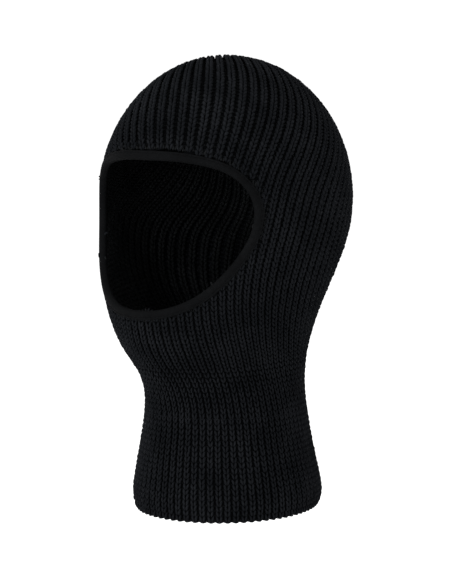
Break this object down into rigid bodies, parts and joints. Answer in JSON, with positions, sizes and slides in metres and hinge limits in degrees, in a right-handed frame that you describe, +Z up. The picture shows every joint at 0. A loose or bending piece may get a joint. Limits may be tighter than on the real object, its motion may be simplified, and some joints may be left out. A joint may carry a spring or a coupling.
{
  "type": "knitted balaclava",
  "caption": "Rib-knit balaclava that covers the head and neck, with a bound face opening, a darted crown and a straight hem.",
  "frame": {"origin": "centre of the hem ring, on the hem plane", "axes": "+Z up from hem to crown, the face looks along -Y, the wearer's left side is +X"},
  "size_m": [0.169, 0.2248, 0.333],
  "materials": {
    "knit": "matte rib knit",
    "binding": "smooth stretch binding",
    "thread": "matte thread"
  },
  "bodies": {
    "root": {"hem_welt": "knit", "neck_knit": "knit", "neck_link": "knit", "hood_knit": "knit", "crown_front": "knit", "crown_back": "knit", "crown_left": "knit", "crown_right": "knit", "face_binding": "binding", "dart_front_left": "thread", "dart_front_right": "thread", "dart_back_left": "thread", "dart_back_right": "thread", "crown_tack": "thread", "back_seam_neck": "thread", "back_seam_hood": "thread", "binding_join": "thread", "stitch_outside": "thread", "stitch_inside": "thread"}
  },
  "joints": []
}
